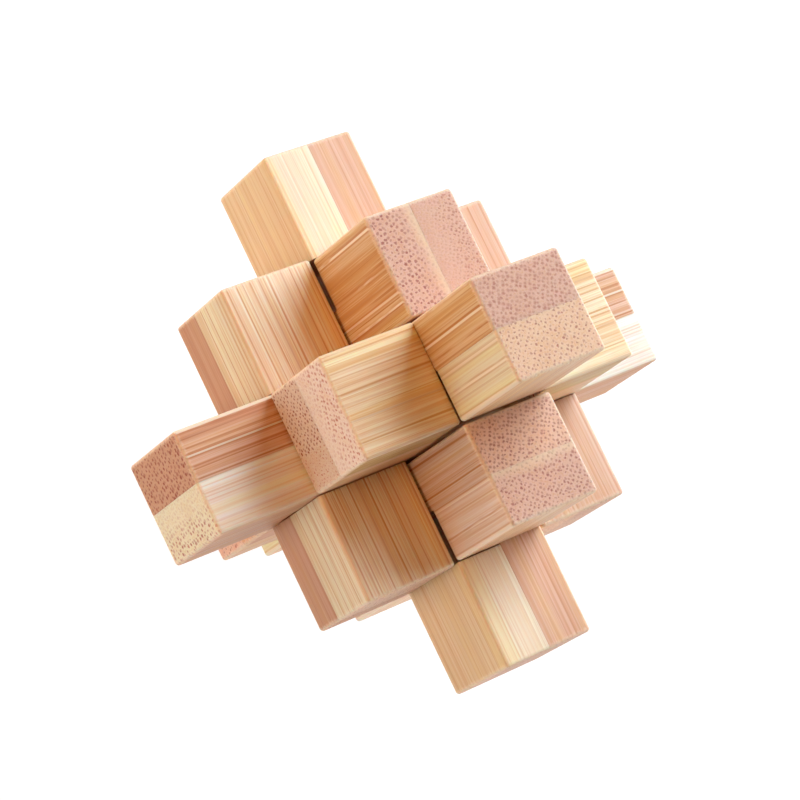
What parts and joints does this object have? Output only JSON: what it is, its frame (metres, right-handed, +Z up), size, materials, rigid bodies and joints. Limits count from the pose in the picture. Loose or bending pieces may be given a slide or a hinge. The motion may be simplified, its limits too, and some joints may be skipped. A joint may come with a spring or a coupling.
{
  "type": "burr puzzle",
  "caption": "Interlocking bamboo burr puzzle: square long and short bars cross in three directions and lock by hidden notches; the short bars slide outwards.",
  "frame": {"origin": "centre of the square lower end of the upright long bar, which the puzzle stands on", "axes": "+X, +Y and +Z each run along one long bar; +Z is up"},
  "size_m": [0.0656, 0.0656, 0.0656],
  "materials": {
    "pale_bamboo": "sanded, unvarnished",
    "caramel_bamboo": "sanded, unvarnished, steamed darker"
  },
  "bodies": {
    "long_bars": {"long_bar_x_front_strip": "pale_bamboo", "long_bar_x_back_strip": "caramel_bamboo", "long_bar_y_left_strip": "pale_bamboo", "long_bar_y_right_strip": "caramel_bamboo", "long_bar_z_front_strip": "pale_bamboo", "long_bar_z_back_strip": "caramel_bamboo"},
    "top_bar": {"top_bar_outer_strip": "pale_bamboo", "top_bar_inner_back_strip": "caramel_bamboo", "top_bar_inner_front_strip": "caramel_bamboo"},
    "bottom_bar": {"bottom_bar_outer_strip": "caramel_bamboo", "bottom_bar_inner_strip": "pale_bamboo"},
    "right_bar": {"right_bar_outer_strip": "caramel_bamboo", "right_bar_inner_strip": "pale_bamboo"},
    "left_bar": {"left_bar_lower_strip": "caramel_bamboo", "left_bar_upper_strip": "pale_bamboo"},
    "back_bar": {"back_bar_left_strip": "caramel_bamboo", "back_bar_right_strip": "caramel_bamboo"},
    "front_bar": {"front_bar_outer_strip": "pale_bamboo", "front_bar_inner_strip": "caramel_bamboo"}
  },
  "joints": [
    {"name": "top_bar_slide", "type": "slide", "parent": "long_bars", "child": "top_bar", "axis": [0, 0, 1], "range_m": [0, 0.0065]},
    {"name": "bottom_bar_slide", "type": "slide", "parent": "long_bars", "child": "bottom_bar", "axis": [0, 0, -1], "range_m": [0, 0.0065]},
    {"name": "right_bar_slide", "type": "slide", "parent": "long_bars", "child": "right_bar", "axis": [1, 0, 0], "range_m": [0, 0.0065]},
    {"name": "left_bar_slide", "type": "slide", "parent": "long_bars", "child": "left_bar", "axis": [-1, 0, 0], "range_m": [0, 0.0065]},
    {"name": "back_bar_slide", "type": "slide", "parent": "long_bars", "child": "back_bar", "axis": [0, 1, 0], "range_m": [0, 0.0065]},
    {"name": "front_bar_slide", "type": "slide", "parent": "long_bars", "child": "front_bar", "axis": [0, -1, 0], "range_m": [0, 0.0065]}
  ]
}
